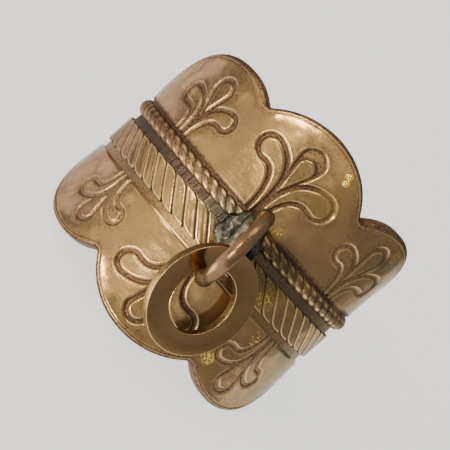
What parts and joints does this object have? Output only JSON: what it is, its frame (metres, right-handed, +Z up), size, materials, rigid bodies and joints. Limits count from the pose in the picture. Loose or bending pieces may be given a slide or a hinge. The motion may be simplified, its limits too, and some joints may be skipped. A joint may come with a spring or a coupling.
{
  "type": "bronze finger ring with a drop ring",
  "caption": "Wide bronze finger ring with lobed edges, a rope and leaf strip, cut sprigs, and a flat drop ring hanging in a soldered wire loop.",
  "frame": {"origin": "on the surface the ring lies on, under the middle of its box", "axes": "+Z up, -Y the way the wire loop and the front face look, +Y from the front to the shank; the finger hole leans back towards +Y"},
  "size_m": [0.023, 0.0296, 0.0214],
  "materials": {
    "ring_bronze": "worn cast bronze, warm brown with dark patina in the cuts and grey solder under the loop",
    "drop_bronze": "smooth dark olive bronze"
  },
  "bodies": {
    "ring": {"ring_band": "ring_bronze"},
    "drop": {"drop_ring": "drop_bronze"}
  },
  "joints": [
    {"name": "drop_swing", "type": "hinge", "parent": "ring", "child": "drop", "pos_m": [0.00144, -0.0104, 0.012], "axis": [-0.9935, -0.1121, -0.0208], "range_deg": [-7, 180]}
  ]
}
